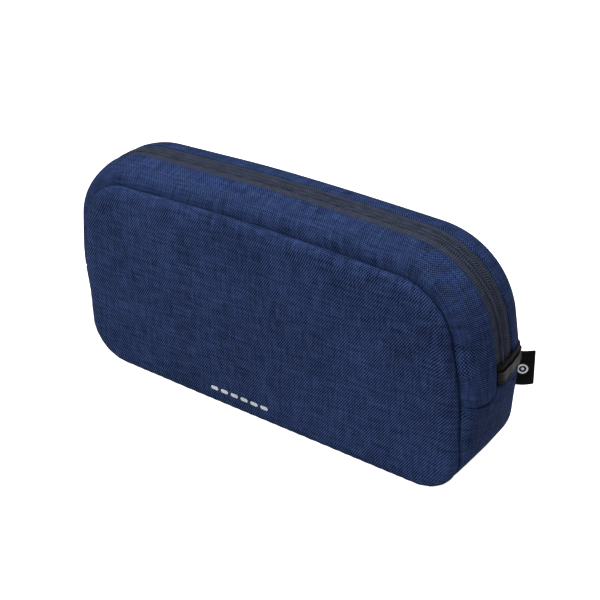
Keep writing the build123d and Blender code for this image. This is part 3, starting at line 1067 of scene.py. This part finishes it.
def plate(name, levels, long, wide, waist, material, shift=0.0):
    rows = [[on_slider(x, y + shift, out) for x, y in slider_outline(48, grow, long, wide, waist)]
            for grow, out in levels]
    return lofted(name, np.array(rows), material)


def joined(name, pieces):
    """Several shapes of one real piece, as one mesh."""
    whole = bmesh.new()
    for piece in pieces:
        whole.from_mesh(piece.data)
    mesh = bpy.data.meshes.new(name)
    whole.to_mesh(mesh)
    whole.free()
    mesh.materials.append(pieces[0].data.materials[0])
    mesh.shade_smooth()
    for piece in pieces:
        bpy.data.objects.remove(piece)
    made = bpy.data.objects.new(name, mesh)
    bpy.context.scene.collection.objects.link(made)
    return made


def strap(name, line, wide, thick, material, closed_path=False):
    """Rounded bar that follows a line of (across, down, out) points, which lie in one plane."""
    section = round_section(wide, thick, 14, 3.2)
    line = np.array(line)
    ahead = np.roll(line, -1, 0) - np.roll(line, 1, 0)
    if not closed_path:
        ahead[0], ahead[-1] = line[1] - line[0], line[-1] - line[-2]
    side_way = np.array([0, 0, 1.0]) if closed_path else np.array([1.0, 0, 0])
    rows = []
    for spot, forward in zip(line, unit(ahead)):
        other = np.cross(forward, side_way)
        rows.append([on_slider(*(spot + side_way * a + other * b)) for a, b in section])
    rows = np.array(rows)
    if closed_path:
        return tube_ring(name, rows, None, material)
    return lofted(name, rows, material)


def slider():
    """Two plates, the post between them and the bridge that holds the pull."""
    top = plate("slider_top", [
        (-0.0012, PLATE_LOW), (-0.0002, PLATE_LOW + 0.00002), (0, PLATE_LOW + 0.0002),
        (0, PLATE_HIGH - 0.0005), (-0.0003, PLATE_HIGH - 0.00015), (-0.0009, PLATE_HIGH),
        (-0.0022, PLATE_HIGH + 0.0002)], 0.012, 0.0084, 0.18, lacquered_zinc)
    under_high = PIN_RADIUS - 0.00645
    under = plate("slider_under", [
        (-0.0009, under_high - 0.0013), (-0.0002, under_high - 0.0012), (0, under_high - 0.0009),
        (0, under_high - 0.0002), (-0.0003, under_high)], 0.008, 0.0065, 0.1, lacquered_zinc)
    half, long, nose = 0.00025, 0.0011, 0.00125
    diamond = ((-half, -long), (0, -nose), (half, -long), (half, long), (0, nose), (-half, long))
    post = lofted("slider_post", np.array([
        [on_slider(x, y + 0.00275, out) for x, y in diamond]
        for out in np.linspace(under_high - 0.0006, PLATE_LOW + 0.0006, 3)]), lacquered_zinc)
    arch = [(0, 0.0026 * math.cos(a), PLATE_HIGH - 0.0003 + 0.00355 * math.sin(a) ** 0.8)
            for a in np.linspace(0, math.pi, 21)]
    bridge = strap("slider_bridge", arch, 0.0024, 0.00075, lacquered_zinc)
    body = joined("slider_casting", [top, under, post, bridge])
    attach(body, "slider")
    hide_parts("slider_body")


def pull():
    """Wire link through the bridge, and the grip moulded on its tail."""
    half, long, corner = 0.0025, 0.0083, 0.0011
    line = []
    for x, y, start in ((half, long, 0), (-half, long, 90), (-half, 0, 180), (half, 0, 270)):
        centre = (x - math.copysign(corner, x), y - (corner if y else -corner))
        for a in np.radians(np.linspace(start, start + 90, 7)):
            line.append((centre[0] + corner * math.cos(a), centre[1] + corner * math.sin(a), PIN_RADIUS))
    link = strap("pull_wire_link", line, 0.0013, 0.0013, lacquered_zinc, True)
    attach(link, "pull")
    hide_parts("pull_link")
    start, end = 0.0066, 0.0236
    shares = np.concatenate([[0, 0.006, 0.02, 0.05, 0.1], np.linspace(0.16, 0.9, 38), [0.94, 0.97, 0.99, 1]])
    rows = []
    for share in shares:
        wide = 0.0062 + 0.0008 * share - 0.0011 * math.sin(math.pi * min(1, share * 1.15)) ** 2
        cap = min(1.0, math.sqrt(max(0.02, 1 - (1 - min(1, share / 0.09)) ** 2)),
                  math.sqrt(max(0.02, 1 - (1 - min(1, (1 - share) / 0.13)) ** 2)))
        ridge = 0.00013 * (1 + math.cos(share * 2 * math.pi * 9)) * (0.42 < share < 0.88)
        thick = 0.0024 * (0.55 + 0.45 * cap) - ridge * 2
        section = round_section(wide * (0.5 + 0.5 * cap), thick, 28, 4.0)
        rows.append([on_slider(a, start + (end - start) * share, PIN_RADIUS + b) for a, b in section])
    grip = lofted("pull_moulded_grip", np.array(rows), grip_rubber)
    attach(grip, "pull")
    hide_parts("pull_grip")


# ---------------------------------------------------------------- inside

NET_CELL = 0.0024
NET_YARN = 0.00066
NET_Y = SEAM_Y + PANEL_CROWN - PANEL_LINING_INNER - 0.0022 - 0.0003
POCKET_INSET = PANEL_LINING_INNER + 0.0014


def net_tree():
    """Six-sided net of round yarn on a flat grid, its cells the dual of a triangle grid."""
    tree = new_tree("net_of_yarn", ("Yarn",), ("Sides",))
    add = tree.nodes.new
    entry, out, dual = add("NodeGroupInput"), add("NodeGroupOutput"), add("GeometryNodeDualMesh")
    lines, ring = add("GeometryNodeMeshToCurve"), add("GeometryNodeCurvePrimitiveCircle")
    yarn = add("GeometryNodeCurveToMesh")
    real, paint = add("GeometryNodeRealizeInstances"), add("GeometryNodeSetMaterial")
    dual.inputs["Keep Boundaries"].default_value = True
    yarn.inputs["Fill Caps"].default_value = True
    for source, target in (
        (entry.outputs["Geometry"], dual.inputs["Mesh"]),
        (dual.outputs["Dual Mesh"], lines.inputs["Mesh"]),
        (entry.outputs["Yarn"], ring.inputs["Radius"]),
        (entry.outputs["Sides"], ring.inputs["Resolution"]),
        (lines.outputs["Curve"], yarn.inputs["Curve"]),
        (ring.outputs["Curve"], yarn.inputs["Profile Curve"]),
        (yarn.outputs["Mesh"], real.inputs["Geometry"]),
        (real.outputs["Geometry"], paint.inputs["Geometry"]),
        (entry.outputs["Material"], paint.inputs["Material"]),
        (paint.outputs["Geometry"], out.inputs["Geometry"]),
    ):
        tree.links.new(source, target)
    return tree


def half_width(height):
    """Half the inside width at a height, at a pocket."""
    table = outline(0.0, POCKET_INSET)
    half = table[:len(table) // 2]
    rising = half[:, 1] > POCKET_INSET + 1e-6
    return float(np.interp(height, half[rising][:60, 1], half[rising][:60, 0]))


def net_pocket(side, top, net):
    """Open net sewn in at its sides and base, with a ribbed elastic hem along its top."""
    word = WORDS[side]
    y = side * NET_Y
    bottom = POCKET_INSET + 0.0008
    step = NET_CELL * math.sqrt(3) / 2
    count = int(round((top - bottom) / step))
    across = int(round(2 * half_width(top) / NET_CELL))
    verts, faces = [], []
    for i in range(count + 1):
        z = bottom + (top - bottom) * i / count
        half = half_width(z) - 0.0006
        for j in range(across + 1):
            u = (j + (0.5 if i % 2 else 0.0) * (0 < j < across)) / across * 2 - 1
            sag = 0.0009 * math.sin(math.pi * i / count) * (1 - u * u)
            verts.append((min(max(u, -1), 1) * half, y - side * sag, z))
    for i in range(count):
        for j in range(across):
            a, b = i * (across + 1) + j, (i + 1) * (across + 1) + j
            if i % 2 == 0:
                faces += [(a, a + 1, b), (a + 1, b + 1, b)]
            else:
                faces += [(a, b + 1, b), (a, a + 1, b + 1)]
    grid = bpy.data.meshes.new(f"{word}_net_grid")
    grid.from_pydata(verts, [], faces)
    mesh = apply_tree(f"{word}_mesh_pocket_net", grid, net, {
        "Yarn": NET_YARN / 2, "Sides": 4, "Material": net_yarn})
    settle(mesh, side, "mesh", f"{word}_mesh_pocket")
    hem = pocket_hem(side, top)
    settle(hem, side, "elastic", f"{word}_pocket_hem")
    widths = [2 * half_width(bottom + (top - bottom) * (k + 0.5) / 40) for k in range(40)]


def pocket_hem(side, top):
    """Elastic binding folded over a pocket's top edge, gathered a little."""
    word = WORDS[side]
    section = round_section(0.0014, 0.006, 20, 5.0)
    xs = np.linspace(-1, 1, 110)
    rows, uv = [], []
    turns = path_lengths(section)
    for x in xs:
        row, cloth = [], []
        for (depth, up), along in zip(section, turns):
            z = top + 0.003 + up
            gather = 0.00015 * math.sin(x * 260 + up * 500)
            spot = x * (half_width(z) - 0.0005)
            row.append((spot, side * NET_Y + depth + gather, z))
            cloth.append((spot, along))
        rows.append(row)
        uv.append(cloth)
    return lofted(f"{word}_pocket_hem_elastic", np.array(rows), elastic_rib, np.array(uv))


def cable_loops():
    """One elastic band, stitched to the rear lining between five raised loops."""
    wall = SEAM_Y + PANEL_CROWN - PANEL_LINING_INNER
    thick, loops, pitch, width, rise = 0.0012, 5, 0.034, 0.028, 0.007
    line = []
    for i in range(loops):
        x = (i - (loops - 1) / 2) * pitch
        line.append((x - pitch / 2 + 0.0002, 0.0))
        for share in np.linspace(0, 1, 29):
            u = (share - 0.5) * width
            lift = (rise - thick) * (1 - abs(2 * share - 1) ** 3.2) ** 0.9
            line.append((x + u, lift))
    line.append(((loops / 2) * pitch, 0.0))
    line = np.array(line)
    ahead = unit(np.gradient(line, axis=0))
    normal = np.stack([-ahead[:, 1], ahead[:, 0]], -1)
    path = path_lengths(line)
    heights = np.concatenate([[0, 0.0003], np.linspace(0.001, 0.021, 9), [0.0217, 0.022]])
    rows, uv = [], []
    for i in range(len(line)):
        section, cloth = [], []
        for hand, zs in ((1, heights), (0, heights[::-1])):
            for z in zs:
                round_edge = 0.6 if z in (0, 0.022) else 1.0
                off = thick * (0.5 + (hand - 0.5) * round_edge * 0.96)
                x, lift = line[i] + normal[i] * off
                section.append((x, wall - lift, 0.060 + z))
                cloth.append((path[i], z))
        rows.append(section)
        uv.append(cloth)
    band = lofted("cable_loop_band_elastic", np.array(rows), elastic_rib, np.array(uv))
    settle(band, REAR, "elastic", "cable_loop_band")


# ---------------------------------------------------------------- build

def paint_node(node, material):
    """A CAD piece that stays gets its finish."""
    piece = frame["nodes"][node]
    piece = bpy.data.objects[piece] if isinstance(piece, str) else piece
    piece.data.materials.clear()
    piece.data.materials.append(material)


for side in (FRONT, REAR):
    padded_panel(side)
    zipper_strip(side)
    zipper_tape(side)
    zipper_teeth(side)
    seam_binding(side)
    paint_node(f"{WORDS[side]}_top_stop", lacquered_zinc)
paint_node("zip_bottom_stop", lacquered_zinc)
bottom_gusset()
end_ribbons()
side_tab()
tab_mark()
front_dashes(bpy.data.objects["front_panel_cloth"])
slider()
pull()
net = net_tree()
net_pocket(FRONT, 0.066, net)
net_pocket(REAR, 0.040, net)
cable_loops()


# ---------------------------------------------------------------- camera, light and floor

def camera():
    """Looks at the pouch's middle from the right and above, leaning a little."""
    azimuth, elevation, roll = np.radians((38.323, 31.096, -2.613)).tolist()
    distance = 0.64258
    right = Vector((math.cos(azimuth), math.sin(azimuth), 0))
    level = Vector((math.sin(azimuth), -math.cos(azimuth), 0))
    back = level * math.cos(elevation) + Vector((0, 0, math.sin(elevation)))
    up = back.cross(right)
    across = right * math.cos(roll) + up * math.sin(roll)
    above = up * math.cos(roll) - right * math.sin(roll)
    data = bpy.data.cameras.new("camera")
    data.sensor_width = 36
    data.lens = 78.68
    data.shift_x, data.shift_y = 0.02465, 0.00682
    data.clip_start = 0.01
    eye = bpy.data.objects.new("camera", data)
    turn = Matrix((across, above, back)).transposed().to_4x4()
    eye.matrix_world = Matrix.Translation(Vector((0, 0, 0.055)) + back * distance) @ turn
    bpy.context.scene.collection.objects.link(eye)
    bpy.context.scene.camera = eye


def softbox(name, place_at, aim, size, power, colour=(1, 1, 1)):
    data = bpy.data.lights.new(name, "AREA")
    data.shape = "RECTANGLE"
    data.size, data.size_y = size
    data.energy = power
    data.color = colour
    lamp = bpy.data.objects.new(name, data)
    lamp.location = place_at
    lamp.rotation_euler = (Vector(aim) - Vector(place_at)).to_track_quat("-Z", "Y").to_euler()
    bpy.context.scene.collection.objects.link(lamp)


def glow_for_camera(tree, unseen, socket):
    """Full brightness to the camera itself, and `unseen` for the light that reaches the pouch."""
    rays = tree.nodes.new("ShaderNodeLightPath")
    glow = tree.nodes.new("ShaderNodeMapRange")
    glow.inputs["To Min"].default_value = unseen
    tree.links.new(rays.outputs["Is Camera Ray"], glow.inputs["Value"])
    tree.links.new(glow.outputs["Result"], socket)


def floor():
    """Pale matt floor that stays white to the camera."""
    mesh = bpy.data.meshes.new("floor")
    reach = 6.0
    corners = [(-reach, -reach, 0), (reach, -reach, 0), (reach, reach, 0), (-reach, reach, 0)]
    mesh.from_pydata(corners, [], [(0, 1, 2, 3)])
    plane = bpy.data.objects.new("floor", mesh)
    bpy.context.scene.collection.objects.link(plane)
    pale = bpy.data.materials.new("pale_floor")
    pale.use_nodes = True
    shader = pale.node_tree.nodes["Principled BSDF"]
    shader.inputs["Base Color"].default_value = (0.7, 0.7, 0.7, 1)
    shader.inputs["Roughness"].default_value = 1.0
    shader.inputs["Specular IOR Level"].default_value = 0.0
    shader.inputs["Emission Color"].default_value = (1, 1, 1, 1)
    glow_for_camera(pale.node_tree, 0.0, shader.inputs["Emission Strength"])
    mesh.materials.append(pale)


camera()
floor()
softbox("key_light", (-0.35, -1.5, 1.15), (0, 0, 0.06), (0.9, 0.9), 27)
softbox("top_light", (0.1, 0.2, 1.6), (0, 0, 0.06), (1.2, 0.9), 33)
world = bpy.data.worlds.new("studio")
world.use_nodes = True
sky = world.node_tree.nodes["Background"]
sky.inputs["Color"].default_value = (1, 1, 1, 1)
glow_for_camera(world.node_tree, 0.05, sky.inputs["Strength"])
bpy.context.scene.world = world
bpy.context.scene.view_settings.view_transform = "Standard"
